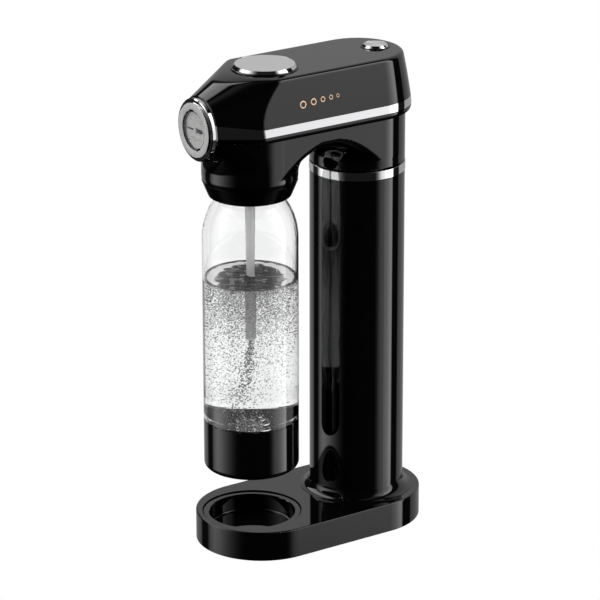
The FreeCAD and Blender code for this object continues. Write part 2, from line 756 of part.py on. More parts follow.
def make_gauge_movement():
    """Movement behind the dial, with the bearing of the needle's spindle."""
    block = box(-9.0, 9.0, dial_face_y + 1.2, -90.0, gauge_z - 6.0, gauge_z + 6.0)
    feet = box(-5.0, 5.0, -90.0, case_back_y - case_wall, gauge_z - 13.0, gauge_z - 3.0)
    return fuse_all([block, feet]).cut(cylinder_y(0.86, -110, -89.0, gauge_z))


def make_gauge_stem():
    """Threaded stub that joins the gauge to the nozzle block, modelled plain."""
    low = cylinder_y(4.0, case_back_y, bottle_y - manifold_radius + 3.9, port_z)
    nut = cylinder_y(6.5, case_back_y, case_back_y + 3.5, port_z)
    return low.fuse(nut).removeSplitter()


def make_gauge_needle():
    """Needle with its spindle, long end to the left and a broad counterweight."""
    blade_y = dial_face_y - 1.7
    wire = Part.makePolygon([Vector(-13.5, blade_y, gauge_z - 0.15), Vector(-13.5, blade_y, gauge_z + 0.15),
                             Vector(0, blade_y, gauge_z + 0.75), Vector(3.2, blade_y, gauge_z + 0.6),
                             Vector(3.6, blade_y, gauge_z + 1.5), Vector(9.6, blade_y, gauge_z + 1.4),
                             Vector(9.6, blade_y, gauge_z - 1.4), Vector(3.6, blade_y, gauge_z - 1.5),
                             Vector(3.2, blade_y, gauge_z - 0.6), Vector(0, blade_y, gauge_z - 0.75),
                             Vector(-13.5, blade_y, gauge_z - 0.15)])
    blade = Part.Face(wire).extrude(Vector(0, 0.4, 0))
    hub = cylinder_y(2.3, blade_y - 0.4, blade_y + 0.9, gauge_z)
    spindle = cylinder_y(0.8, blade_y, -90.0, gauge_z)
    needle = fuse_all([blade, hub, spindle])
    needle.rotate(Vector(0, 0, gauge_z), Vector(0, 1, 0), needle_rise)
    return needle


# ---------------------------------------------------------------- bottle
def dome(radius, rise, neck, steps=8):
    """Quarter ellipse from the wall of the bottle to its neck, as (radius, height)."""
    last = math.acos(neck / radius)
    angles = [last * i / steps for i in range(1, steps + 1)]
    return [(radius * math.cos(a), bottle_shoulder + rise * math.sin(a)) for a in angles]


def make_bottle_body():
    r = bottle_radius
    inner = r - bottle_wall
    foot = bottle_foot_radius
    neck = bottle_neck_radius
    bore = neck - bottle_neck_wall
    outer_dome = dome(r, bottle_dome_rise, neck)
    inner_dome = dome(inner, bottle_dome_rise - bottle_wall, bore)
    back = inner_dome[::-1][1:] + [(inner, bottle_shoulder)]
    low = bottle_bottom + 3.3
    shell = lathe([(0, low), (foot - 9, low), ((foot - 2.6, low + 2.6), (foot, low + 9)),
                   (foot, bottle_cup_top), (r, bottle_cup_top + 0.2), (r, bottle_shoulder), outer_dome,
                   (neck, bottle_mouth), (bore, bottle_mouth), inner_dome[-1], back,
                   (inner, bottle_cup_top + 1.2), (foot - bottle_wall, bottle_cup_top - 1.0),
                   (foot - bottle_wall, low + 10), ((foot - 4.2, low + 4.4), (foot - 10, low + bottle_wall)),
                   (0, low + bottle_wall)], bottle_y)
    lugs = [sector(lug_radius, neck - 0.5, lug_low, lug_high, bottle_y, 90.0 + 120.0 * i, lug_sweep)
            for i in range(bayonet_steps)]
    return fuse_all([shell] + lugs)


def make_bottle_base_cup():
    r = bottle_radius
    foot = bottle_foot_radius + 0.15
    low = bottle_bottom
    inside = low + 3.1
    return lathe([(0, low), (r - 5, low), ((r - 1.46, low + 1.46), (r, low + 5)), (r, bottle_cup_top),
                  (foot, bottle_cup_top), (foot, inside + 9),
                  ((foot - 2.6, inside + 2.6), (foot - 9, inside)),
                  (0, inside)], bottle_y)


# ---------------------------------------------------------------- write every piece
head_skin = head_body(0).cut(head_body(head_wall, head_skirt - 2))

makers = {
    "base_shell": make_base_shell,
    "base_plate": make_base_plate,
    "rubber_feet": make_rubber_feet,
    "base_screws": make_base_screws,
    "drip_tray": make_drip_tray,
    "column_tube": make_column_tube,
    "column_screws": make_column_screws,
    "cylinder_guide": make_cylinder_guide,
    "column_ring": make_column_ring,
    "gas_cylinder_body": make_gas_cylinder_body,
    "gas_cylinder_valve": make_gas_cylinder_valve,
    "head_top_cover": make_head_top_cover,
    "head_trim": make_head_trim,
    "head_lower_shell": make_head_lower_shell,
    "head_chassis": make_head_chassis,
    "head_screws": make_head_screws,
    "lever_bracket": make_lever_bracket,
    "lever_pin": make_lever_pin,
    "valve_lever": make_valve_lever,
    "valve_block": make_valve_block,
    "cylinder_seal": make_cylinder_seal,
    "valve_plunger": make_valve_plunger,
    "nozzle_block": make_nozzle_block,
    "carbonation_tube": make_carbonation_tube,
    "bottle_seal": make_bottle_seal,
    "socket_flange": make_socket_flange,
    "lock_ring": make_lock_ring,
    "relief_valve": make_relief_valve,
    "gas_hose": make_gas_hose,
    "vent_hose": make_vent_hose,
    "button_guide": make_button_guide,
    "carbonate_bezel": make_carbonate_bezel,
    "carbonate_button": make_carbonate_button,
    "carbonate_stem": make_carbonate_stem,
    "carbonate_spring": make_carbonate_spring,
    "release_guide": make_release_guide,
    "release_bezel": make_release_bezel,
    "release_button": make_release_button,
    "release_stem": make_release_stem,
    "release_spring": make_release_spring,
    "gauge_case": make_gauge_case,
    "gauge_bezel": make_gauge_bezel,
    "gauge_lens": make_gauge_lens,
    "gauge_dial": make_gauge_dial,
    "gauge_movement": make_gauge_movement,
    "gauge_stem": make_gauge_stem,
    "gauge_needle": make_gauge_needle,
    "bottle_body": make_bottle_body,
    "bottle_base_cup": make_bottle_base_cup,
}

os.makedirs("parts", exist_ok=True)
for name, make in makers.items():
    shape = make()
    size = shape.BoundBox
    corners = (size.XMin, size.XMax, size.YMin, size.YMax, size.ZMin, size.ZMax)
    print("%-20s" % name, "solids", len(shape.Solids), "valid", shape.isValid(),
          "volume %.1f" % shape.Volume, "x %.1f..%.1f y %.1f..%.1f z %.1f..%.1f" % corners)
    shape.exportStep(os.path.join("parts", name + ".step"))
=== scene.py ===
import json
import math

import bmesh
import bpy
import numpy as np
from mathutils import Matrix, Vector


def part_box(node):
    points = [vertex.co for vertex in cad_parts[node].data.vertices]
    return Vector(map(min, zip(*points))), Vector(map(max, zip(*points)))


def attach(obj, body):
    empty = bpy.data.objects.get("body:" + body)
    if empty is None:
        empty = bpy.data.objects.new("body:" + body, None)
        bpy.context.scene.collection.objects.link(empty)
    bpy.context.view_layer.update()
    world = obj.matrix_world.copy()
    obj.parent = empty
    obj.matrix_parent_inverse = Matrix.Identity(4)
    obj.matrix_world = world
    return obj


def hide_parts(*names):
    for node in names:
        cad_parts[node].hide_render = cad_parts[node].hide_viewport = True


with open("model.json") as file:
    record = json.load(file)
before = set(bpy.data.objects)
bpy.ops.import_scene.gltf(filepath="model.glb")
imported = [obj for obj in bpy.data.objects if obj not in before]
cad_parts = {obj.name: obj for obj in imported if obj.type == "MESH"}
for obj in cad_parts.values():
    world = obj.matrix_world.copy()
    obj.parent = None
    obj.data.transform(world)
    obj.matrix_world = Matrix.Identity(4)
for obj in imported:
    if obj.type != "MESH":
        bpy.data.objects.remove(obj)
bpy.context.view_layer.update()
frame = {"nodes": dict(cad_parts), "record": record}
nodes = frame["nodes"]

MM = 0.001


# ---------------------------------------------------------------- places in millimetres, from the frame
def edge(node, side, axis):
    """Low (side 0) or high (side 1) end of a node's box along an axis."""
    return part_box(node)[side][axis] / MM


def half_width(node):
    return (edge(node, 1, 0) - edge(node, 0, 0)) / 2


def middle(node, axis):
    return (edge(node, 0, axis) + edge(node, 1, axis)) / 2


column_y = middle("column_ring", 1)
bottle_y = middle("bottle_base_cup", 1)
gauge_z = middle("gauge_bezel", 2)
nose_y = edge("gauge_bezel", 1, 1)
head_top = edge("head_top_cover", 1, 2)
head_half = half_width("head_trim")
ring_top = edge("column_ring", 1, 2)
bottle_radius = half_width("bottle_body")
head_side = 41.0                # half width below the trim, radius of the cup and of the collar
cone_front = 27.5               # radius of the cone at the gauge
cone_growth = 0.55              # its growth along Y
cone_scale = 0.876              # turns the cone's radial distance into a true distance
gauge_opening = 22.4            # radius of the hole for the gauge
bubble_reach = 38.9             # radius of the cloud of bubbles
water_top = 243.0
trim_low = 379.5
trim_high = 386.3
trim_flare_y = -68.0
trim_flare_slope = 0.127
skirt_low = 373.0


# ---------------------------------------------------------------- camera
camera_data = bpy.data.cameras.new("camera")
camera_data.lens = 220.1
camera_data.sensor_width = 36.0
camera_data.clip_start = 0.05
camera_data.clip_end = 50.0
camera = bpy.data.objects.new("camera", camera_data)
bpy.context.scene.collection.objects.link(camera)
camera_right = Vector((0.55906, 0.82912, -0.00158)).normalized()
camera_up = Vector((-0.28235, 0.19217, 0.93987)).normalized()
camera_back = camera_right.cross(camera_up)
camera_turn = Matrix((camera_right, camera_up, camera_back)).transposed()
camera.matrix_world = Matrix.Translation((2.4587, -1.6601, 1.2880)) @ camera_turn.to_4x4()
bpy.context.scene.camera = camera
bpy.context.scene.view_settings.view_transform = "Standard"


# ---------------------------------------------------------------- material helpers
class Nodes:
    """A material's node tree, with short calls for the nodes used here."""

    def __init__(self, name):
        self.material = bpy.data.materials.new(name)
        self.material.use_nodes = True
        self.tree = self.material.node_tree
        self.shader = self.tree.nodes["Principled BSDF"]
        self.out = self.tree.nodes["Material Output"]

    def add(self, kind, **sockets):
        node = self.tree.nodes.new(kind)
        for name, value in sockets.items():
            if hasattr(node, name):
                setattr(node, name, value)
            else:
                self.put(node, name.replace("_", " "), value)
        return node

    def put(self, node, socket, value):
        if isinstance(value, bpy.types.NodeSocket):
            self.tree.links.new(value, node.inputs[socket])
        else:
            node.inputs[socket].default_value = value

    def set(self, **values):
        for name, value in values.items():
            self.put(self.shader, name.replace("_", " "), value)

    def place(self):
        return self.add("ShaderNodeTexCoord").outputs["Object"]

    def noise(self, scale, detail=2.0, rough=0.5, vector=None):
        node = self.add("ShaderNodeTexNoise", Scale=scale, Detail=detail, Roughness=rough)
        self.put(node, "Vector", vector or self.place())
        return node.outputs["Fac"]

    def ramp(self, fac, low, high, start=0.0, end=1.0):
        node = self.add("ShaderNodeMapRange")
        for socket, value in zip(("Value", "From Min", "From Max", "To Min", "To Max"),
                                 (fac, start, end, low, high)):
            self.put(node, socket, value)
        return node.outputs["Result"]

    def math(self, operation, *values):
        node = self.add("ShaderNodeMath", operation=operation)
        for i, value in enumerate(values):
            self.put(node, i, value)
        return node.outputs[0]

    def mix(self, fac, first, second):
        node = self.add("ShaderNodeMix", data_type="RGBA")
        self.put(node, 0, fac)
        self.put(node, 6, first)
        self.put(node, 7, second)
        return node.outputs[2]

    def bump(self, height, distance, strength=1.0):
        node = self.add("ShaderNodeBump", Strength=strength, Distance=distance)
        self.put(node, "Height", height)
        self.put(self.shader, "Normal", node.outputs["Normal"])

    def offset(self, x, y, z):
        """Object place measured from a point given in millimetres."""
        node = self.add("ShaderNodeVectorMath", operation="SUBTRACT")
        self.put(node, 0, self.place())
        self.put(node, 1, (x * MM, y * MM, z * MM))
        return node.outputs[0]


def rgb(r, g=None, b=None):
    return (r, r if g is None else g, r if b is None else b, 1.0)


# ---------------------------------------------------------------- materials, one for each slot
def gloss_black():
    m = Nodes("gloss_black")
    m.set(Base_Color=m.mix(m.noise(18.0, 3.0), rgb(0.0018, 0.0018, 0.002), rgb(0.003, 0.003, 0.0033)),
          Roughness=m.ramp(m.noise(90.0, 4.0), 0.015, 0.04), IOR=1.5)
    m.bump(m.noise(260.0, 2.0), 0.000012, 0.25)
    return m.material


def inner_plastic():
    m = Nodes("inner_plastic")
    grain = m.noise(2600.0, 3.0)
    m.set(Base_Color=m.mix(m.noise(60.0, 3.0), rgb(0.012), rgb(0.02)),
          Roughness=m.ramp(grain, 0.42, 0.6), IOR=1.5)
    m.bump(grain, 0.00006, 0.5)
    return m.material


def chrome():
    m = Nodes("chrome_trim")
    m.set(Metallic=1.0, Base_Color=m.mix(m.noise(40.0), rgb(0.64, 0.64, 0.65), rgb(0.70, 0.70, 0.71)),
          Roughness=m.ramp(m.noise(160.0, 4.0), 0.03, 0.07))
    return m.material


def brushed_metal(name, low, high, rough):
    """Satin metal with fine turning marks round the object's own axis."""
    m = Nodes(name)
    parts = m.add("ShaderNodeSeparateXYZ", Vector=m.place())
    px, py = parts.outputs[0], parts.outputs[1]
    radius = m.math("SQRT", m.math("ADD", m.math("MULTIPLY", px, px), m.math("MULTIPLY", py, py)))
    around = m.add("ShaderNodeCombineXYZ", X=m.math("MULTIPLY", radius, 2600.0),
                   Y=m.math("MULTIPLY", m.math("ARCTAN2", py, px), 0.8))
    streak = m.noise(1.0, 3.0, 0.6, around.outputs[0])
    m.set(Metallic=1.0, Base_Color=m.mix(streak, low, high), Roughness=m.ramp(streak, *rough))
    m.bump(streak, 0.00002, 0.35)
    return m.material


def plain_metal(name, low, high, rough, streak_scale):
    m = Nodes(name)
    stretch = m.add("ShaderNodeMapping")
    m.put(stretch, "Vector", m.place())
    m.put(stretch, "Scale", streak_scale)
    streak = m.noise(1.0, 4.0, 0.6, stretch.outputs[0])
    m.set(Metallic=1.0, Base_Color=m.mix(streak, low, high), Roughness=m.ramp(streak, *rough))
    m.bump(streak, 0.00004, 0.4)
    return m.material


def rubber():
    m = Nodes("black_rubber")
    grain = m.noise(1500.0, 4.0)
    m.set(Base_Color=m.mix(m.noise(80.0), rgb(0.008), rgb(0.018)),
          Roughness=m.ramp(grain, 0.6, 0.8), IOR=1.52)
    m.bump(grain, 0.00008, 0.6)
    return m.material


def clear(name, tint, rough, ior, wave):
    m = Nodes(name)
    m.set(Base_Color=m.mix(m.noise(25.0, 2.0), rgb(*tint), rgb(1.0)), Transmission_Weight=1.0, IOR=ior,
          Roughness=m.ramp(m.noise(60.0, 3.0), *rough))
    m.bump(m.noise(45.0, 2.0), wave, 0.3)
    return m.material


def lens_film():
    """Thin clear cover that adds only a faint gloss."""
    m = Nodes("clear_lens")
    m.set(Base_Color=m.mix(m.noise(90.0), rgb(0.80), rgb(0.95)), Alpha=0.07,
          Roughness=m.ramp(m.noise(120.0, 3.0), 0.0, 0.02), IOR=1.49)
    return m.material


def dial_face():
    m = Nodes("dial_face")
    m.set(Base_Color=m.mix(m.noise(700.0, 3.0), rgb(0.80, 0.79, 0.78), rgb(0.88, 0.87, 0.86)),
          Roughness=m.ramp(m.noise(900.0, 2.0), 0.4, 0.55), IOR=1.5)
    m.bump(m.noise(2000.0, 2.0), 0.00001, 0.4)
    return m.material


def painted(name, low, high, rough, scale=300.0):
    m = Nodes(name)
    m.set(Base_Color=m.mix(m.noise(scale, 3.0), low, high), Roughness=m.ramp(m.noise(scale * 2, 3.0), *rough),
          IOR=1.5)
    m.bump(m.noise(scale * 3, 2.0), 0.00001, 0.5)
    return m.material


carbonate_y = middle("carbonate_button", 1)
release_y = middle("release_button", 1)
materials = {
    "gloss_black": gloss_black(),
    "inner_plastic": inner_plastic(),
    "chrome_trim": chrome(),
    "satin_metal": brushed_metal("satin_metal", rgb(0.78, 0.78, 0.79), rgb(0.84, 0.84, 0.84), (0.16, 0.26)),
    "steel": plain_metal("steel", rgb(0.42, 0.43, 0.44), rgb(0.58, 0.58, 0.58), (0.25, 0.42),
                         (900.0, 40.0, 40.0)),
    "brass": plain_metal("brass", rgb(0.66, 0.49, 0.22), rgb(0.80, 0.62, 0.32), (0.18, 0.34),
                         (200.0, 200.0, 900.0)),
    "cylinder_metal": plain_metal("cylinder_metal", rgb(0.55, 0.57, 0.60), rgb(0.68, 0.70, 0.72), (0.22, 0.4),
                                  (60.0, 60.0, 1500.0)),
    "black_rubber": rubber(),
    "clear_bottle": clear("clear_bottle", (0.97, 0.975, 0.975), (0.0, 0.012), 1.5, 0.00002),
    "clear_lens": lens_film(),
    "dial_face": dial_face(),
    "needle_black": painted("needle_black", rgb(0.012, 0.009, 0.008), rgb(0.022, 0.016, 0.014), (0.3, 0.45)),
    "tube_grey": painted("tube_grey", rgb(0.92), rgb(0.97), (0.3, 0.42), 120.0),
}
tube_shader = materials["tube_grey"].node_tree.nodes["Principled BSDF"]
tube_shader.inputs["Transmission Weight"].default_value = 0.3
slots = {part["node"]: part["material_slot"] for part in frame["record"]["subparts"]}
for name, obj in nodes.items():
    obj.data.materials.clear()
    obj.data.materials.append(materials[slots[name]])


# ---------------------------------------------------------------- making pieces
def dress(piece, body, material, replaces=()):
    piece.data.materials.clear()
    piece.data.materials.append(material)
    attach(piece, body)
    if replaces:
        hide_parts(*replaces)
    return piece


def new_piece(name, points, faces, normals=None, sharp=None):
    """Object from points in millimetres; smooth, with given normals or with edges sharper than an angle."""
    mesh = bpy.data.meshes.new(name)
    mesh.from_pydata((np.asarray(points) * MM).tolist(), [], [list(map(int, f)) for f in faces])
    mesh.polygons.foreach_set("use_smooth", [True] * len(mesh.polygons))
    if normals is not None:
        mesh.normals_split_custom_set_from_vertices(np.asarray(normals).tolist())
    elif sharp is not None:
        mesh.set_sharp_from_angle(angle=math.radians(sharp))
    mesh.update()
    piece = bpy.data.objects.new(name, mesh)
    bpy.context.scene.collection.objects.link(piece)
    return piece


def spin(name, profile, x, y, sharp=30.0, segments=128, along_y=False, z=0.0):
    """Closed solid of revolution from (radius, height) points that run round its section."""
    turns = np.arange(segments) * 2 * math.pi / segments
    points, rings = [], []
    for radius, height in profile:
        if radius < 1e-6:
            rings.append([len(points)] * segments)
            points.append((0.0, 0.0, height))
        else:
            rings.append(list(range(len(points), len(points) + segments)))
            points += [(radius * math.cos(t), radius * math.sin(t), height) for t in turns]
    faces = []
    closed = profile[0][0] > 1e-6
    last = len(rings) if closed else len(rings) - 1
    for i in range(last):
        a, b = rings[i], rings[(i + 1) % len(rings)]
        for k in range(segments):
            face = []
            for v in (a[k], a[(k + 1) % segments], b[(k + 1) % segments], b[k]):
                if v not in face:
                    face.append(v)
            if len(face) > 2:
                faces.append(face)
    points = np.array(points)
    if along_y:
        points = np.stack([points[:, 0], -points[:, 2], points[:, 1]], 1)
        points += (x, 0.0, z)
    else:
        points += (x, y, 0.0)
    return new_piece(name, points, faces, sharp=sharp)


# ---------------------------------------------------------------- smooth skins from a formula
def round_cut(a, b, radius):
    """Where both solids are, with the edge between them rounded (arguments are signed distances)."""
    corner = np.hypot(np.maximum(a + radius, 0), np.maximum(b + radius, 0))
    return np.minimum(np.maximum(a, b), -radius) + corner


def round_join(a, b, radius):
    """Where either solid is, with a concave fillet between them."""
    return -round_cut(-a, -b, radius)


def slope_and_value(field, points, reach=0.02):
    """The step that brings each point onto the surface, and the unit normal there."""
    slope = np.empty_like(points)
    for axis in range(3):
        move = np.zeros(3)
        move[axis] = reach
        slope[:, axis] = field(*(points + move).T) - field(*(points - move).T)
    slope /= 2 * reach
    length = np.maximum((slope ** 2).sum(1), 0.05)
    value = field(*points.T)
    return slope * (value / length)[:, None], slope / np.sqrt(length)[:, None]


def surface(field, low, high, step):
    """Points and quads of the surface where field(x, y, z) is zero: one point for each grid cell that it
    crosses, moved onto the surface along the field's slope."""
    axes = [np.arange(a - step, b + 2 * step, step) for a, b in zip(low, high)]
    grid = np.meshgrid(*axes, indexing="ij")
    value = field(*grid)
    inside = value < 0
    total = np.zeros([n - 1 for n in value.shape] + [3])
    count = np.zeros([n - 1 for n in value.shape])
    corner = [slice(0, -1), slice(1, None)]
    for axis in range(3):
        others = [i for i in range(3) if i != axis]
        for i in (0, 1):
            for j in (0, 1):
                near = [None] * 3
                near[others[0]] = corner[i]
                near[others[1]] = corner[j]
                near[axis] = corner[0]
                far = list(near)
                far[axis] = corner[1]
                v0 = value[tuple(near)]
                v1 = value[tuple(far)]
                crossed = (v0 < 0) != (v1 < 0)
                share = np.where(crossed, v0 / np.where(crossed, v0 - v1, 1.0), 0.0)
                for k in range(3):
                    place = grid[k][tuple(near)] + (share * step if k == axis else 0.0)
                    total[..., k] += np.where(crossed, place, 0.0)
                count += crossed
    used = count > 0
    points = total[used] / count[used][:, None]
    number = np.full(used.shape, -1)
    number[used] = np.arange(len(points))
    for _ in range(4):
        points -= slope_and_value(field, points)[0]
    quads = []
    for axis in range(3):
        i, j = [k for k in range(3) if k != axis]
        lower = [slice(1, -1)] * 3
        lower[axis] = slice(0, -1)
        upper = [slice(1, -1)] * 3
        upper[axis] = slice(1, None)
        a = inside[tuple(lower)]
        b = inside[tuple(upper)]
        where = np.argwhere(a != b)
        flip = a[a != b]
        if axis == 1:
            flip = ~flip
        where += [0 if k == axis else 1 for k in range(3)]
        ring = []
        for di, dj in ((0, 0), (-1, 0), (-1, -1), (0, -1)):
            cell = where.copy()
            cell[:, i] += di
            cell[:, j] += dj
            ring.append(number[cell[:, 0], cell[:, 1], cell[:, 2]])
        ring = np.stack(ring, 1)
        ring[~flip] = ring[~flip][:, ::-1]
        quads.append(ring)
    return points, np.concatenate(quads)


def cut(points, faces, planes, round_holes=()):
    """The part of a surface on the inner side of every (point, normal) plane, less the round holes: each is
    the function that measures a point from the hole's axis, its radius and the test for where it applies."""
    bm = bmesh.new()
    made = [bm.verts.new(p) for p in points]
    for face in faces:
        bm.faces.new([made[i] for i in face])
    for point, normal in planes:
        geometry = bm.verts[:] + bm.edges[:] + bm.faces[:]
        bmesh.ops.bisect_plane(bm, geom=geometry, plane_co=point, plane_no=normal, clear_outer=True)
    for centre, axes, radius, applies in round_holes:
        a, b = axes

        def reach(v):
            return math.hypot(v.co[a] - centre[0], v.co[b] - centre[1])

        gone = [f for f in bm.faces if any(reach(v) < radius and applies(v.co) for v in f.verts)]
        rim = {v for f in gone for v in f.verts if reach(v) >= radius}
        bmesh.ops.delete(bm, geom=gone, context="FACES")
        for v in rim:
            if v.is_valid and applies(v.co):
                scale = radius / reach(v)
                v.co[a] = centre[0] + (v.co[a] - centre[0]) * scale
                v.co[b] = centre[1] + (v.co[b] - centre[1]) * scale
    bmesh.ops.delete(bm, geom=[v for v in bm.verts if not v.link_faces], context="VERTS")
    bm.verts.index_update()
    points = np.array([v.co[:] for v in bm.verts])
    faces = [[v.index for v in f.verts] for f in bm.faces]
    bm.free()
    return points, faces


def shell(name, field, parts, thickness):
    """Piece of the given thickness behind the cut surfaces in parts."""
    points, faces = [], []
    for p, f in parts:
        faces += [[i + sum(map(len, points)) for i in face] for face in f]
        points.append(p)
    outer = np.concatenate(points)
    keys = {}
    merged = [keys.setdefault(tuple(np.round(p, 3)), len(keys)) for p in outer]
    first = np.unique(merged, return_index=True)[1]
    outer = outer[first]
    faces = [[merged[i] for i in face] for face in faces]
    normals = slope_and_value(field, outer)[1]
    count = len(outer)
    edges = {}
    for face in faces:
        for a, b in zip(face, face[1:] + face[:1]):
            edges[(a, b)] = edges.get((a, b), 0) + 1
    inner = outer - thickness * normals
    all_points, all_normals = [outer, inner], [normals, -normals]
    all_faces = faces + [[i + count for i in face[::-1]] for face in faces]
    rim = [(a, b) for a, b in edges if (b, a) not in edges]
    base = 2 * count
    for a, b in rim:
        corners = np.array([outer[b], outer[a], inner[a], inner[b]])
        facing = np.cross(corners[1] - corners[0], corners[3] - corners[0])
        facing /= max(np.linalg.norm(facing), 1e-9)
        all_points.append(corners)
        all_normals.append(np.tile(facing, (4, 1)))
        all_faces.append([base, base + 1, base + 2, base + 3])
        base += 4
    return new_piece(name, np.concatenate(all_points), all_faces, np.concatenate(all_normals))


# ---------------------------------------------------------------- head
def cone_distance(x, y, z):
    """Signed distance from the cone round the gauge's axis."""
    return (np.hypot(x, z - gauge_z) - (cone_front + cone_growth * (y - nose_y))) * cone_scale


def head_field(x, y, z):
    """Capsule outline with leaning sides, a flat top and a cone that narrows towards the gauge."""
    across = np.where(y > column_y, np.hypot(x, y - column_y), np.abs(x))
    rise = 0.5 * (z - gauge_z + np.hypot(z - gauge_z, 4.0))
    side = across - (head_half + 0.1 - 0.139 * rise - 0.0008 * rise ** 2)
    body = round_cut(side, z - head_top, 3.0)
    cone = cone_distance(x, y, z)
    upward = (z - gauge_z) / np.hypot(x, z - gauge_z + 1e-6)
    body = round_cut(body, cone, 1.6 + 5.4 * np.clip((upward - 0.75) / 0.25, 0, 1))
    body = round_cut(body, nose_y - y, 1.3)
    return round_cut(body, skirt_low - z, 4.5)


points, faces = surface(head_field, (-46, -105, 373), (46, 101, 425), 1.7)
slope = trim_flare_slope
flat_high = ((0, 0, trim_high), (0, 0, 1))
tilt_high = ((0, trim_flare_y, trim_high), (0, slope, 1))
flat_low = ((0, 0, trim_low), (0, 0, 1))
tilt_low = ((0, trim_flare_y, trim_low), (0, -slope, 1))
rear_only = ((0, trim_flare_y, 0), (0, -1, 0))
front_only = ((0, trim_flare_y, 0), (0, 1, 0))


def turned(plane):
    return (plane[0], tuple(-n for n in plane[1]))


gauge_hole = ((0, gauge_z), (0, 2), gauge_opening, lambda p: p[1] < nose_y + 1.5)
button_hole = ((0, carbonate_y), (0, 1), 28.7, lambda p: p[2] > head_top - 2)
release_hole = ((0, release_y), (0, 1), 12.8, lambda p: p[2] > head_top - 2)

cover = shell("head_cover", head_field, [cut(points, faces, [turned(flat_high), turned(tilt_high)],
                                             [gauge_hole, button_hole, release_hole])], 2.2)
dress(cover, "root", materials["gloss_black"], ["head_top_cover"])


def trim_field(x, y, z):
    return head_field(x, y, z) - 0.12


trim_points = points - slope_and_value(trim_field, points)[0]
trim = shell("head_band", trim_field, [
    cut(trim_points, faces, [flat_high, turned(flat_low), rear_only]),
    cut(trim_points, faces, [tilt_high, turned(tilt_low), front_only], [gauge_hole])], 2.0)
dress(trim, "root", materials["chrome_trim"], ["head_trim"])

skirt = shell("head_skirt", head_field, [cut(points, faces, [flat_low, tilt_low], [gauge_hole])], 2.0)
dress(skirt, "root", materials["gloss_black"], ["head_lower_shell"])


def posts_and_arch(x, y, z):
    """Cup and collar, joined to the underside of the head by wide fillets."""
    from_bottle = np.hypot(x, y - bottle_y)
    cup = round_cut(from_bottle - head_side, (from_bottle - head_side + (330.4 - z) * 0.414) * 0.924, 2.0)
    collar = round_cut(np.hypot(x, y - column_y) - head_side, ring_top + 0.3 - z, 0.8)
    return round_join(round_join(cup, collar, 20.0), 358.0 - z, 22.0)


def lower_field(x, y, z):
    """Cup over the bottle's neck, arch, collar on the column and the underside of the nose. The edge between
    the sides and the fillets is rounded less where the two lie nearly in one plane."""
    under = posts_and_arch(x, y, z)
    along = np.maximum(y - column_y, 0.0) + np.minimum(y - bottle_y, 0.0)
    outward = np.maximum(np.hypot(x, along), 1e-6)
    ux, uy = 0.2 * x / outward, 0.2 * along / outward
    lean = (posts_and_arch(x + ux, y + uy, z) - posts_and_arch(x - ux, y - uy, z)) / 0.4
    half_turn = np.sqrt(np.clip((1 + lean) / 2, 0, 1))
    under = round_cut(under, outward - head_side, 0.02 + 7.0 * (1 - half_turn) / 0.293)
    cone = cone_distance(x, y, z)
    nose = round_cut(round_cut(cone, np.abs(x) - 34.5, 4.0), nose_y - y, 1.3)
    joined = round_join(under, np.maximum(nose, y - bottle_y), 7.0)
    return np.maximum(joined, np.maximum(z - 376.0, 316.0 - z))


points, faces = surface(lower_field, (-43, -105, 316), (43, 97, 376), 1.8)
case_hole = ((0, gauge_z), (0, 2), gauge_opening, lambda p: p[1] < nose_y + 20)
points, faces = cut(points, faces, [((0, 0, 322.0), (0, 0, -1))], [case_hole])
lower = new_piece("head_lower_body", points, faces, slope_and_value(lower_field, points)[1])
dress(lower, "root", materials["gloss_black"], ["head_lower_shell"])

mouth_profile = [(37.52, 322.0), (35.9, 318.1), (35.45, 317.1), (34.9, 316.5), (34.2, 316.4), (33.4, 316.5),
                 (32.9, 316.9), (32.75, 317.5), (38.2, 330.0), (40.7, 330.0)]
mouth = spin("cup_mouth", mouth_profile[::-1], 0, bottle_y, 50.0)
dress(mouth, "root", materials["gloss_black"], ["head_lower_shell"])


# ---------------------------------------------------------------- buttons
def button(body, node, y, top, radius, foot, chamfer, drop, face_material):
    """Flat face let into a polished, chamfered rim."""
    inner = radius - chamfer
    rim_profile = [(inner, top - 1.2), (inner, top - 0.05), (inner + 0.15, top), (inner + 0.4, top - 0.1),
                   (radius - 0.15, top - drop), (radius, top - drop - 0.3), (radius, foot), (inner - 2, foot),
                   (inner - 2, top - 1.2)]
    rim = spin(node + "_rim", rim_profile[::-1], 0, y, 25.0)
    dress(rim, body, materials["chrome_trim"], [node])
    face = spin(node + "_face", [(0, top - 0.15), (inner - 0.05, top - 0.15), (inner - 0.05, top - 1.1),
                                 (0, top - 1.1)][::-1], 0, 0, 25.0)
    face.location = (0, y * MM, 0)
    dress(face, body, face_material)


def spun_face():
    """Turned metal whose highlights run out from the middle."""
    m = Nodes("spun_button")
    tangent = m.add("ShaderNodeTangent", direction_type="RADIAL", axis="Z")
    scaled = m.add("ShaderNodeVectorMath", operation="SCALE", Scale=900.0, Vector=m.place())
    rings = m.noise(1.0, 3.0, 0.6, scaled.outputs[0])
    m.set(Metallic=1.0, Base_Color=m.mix(rings, rgb(0.82), rgb(0.94)), Roughness=m.ramp(rings, 0.26, 0.36),
          Anisotropic=0.85)
    m.put(m.shader, "Tangent", tangent.outputs[0])
    return m.material


button("carbonate_button", "carbonate_button", carbonate_y, edge("carbonate_button", 1, 2), 27.0,
       edge("carbonate_button", 0, 2), 1.9, 2.2, materials["satin_metal"])
button("release_button", "release_button", release_y, edge("release_button", 1, 2), 11.3,
       edge("release_button", 0, 2), 1.8, 1.7, spun_face())


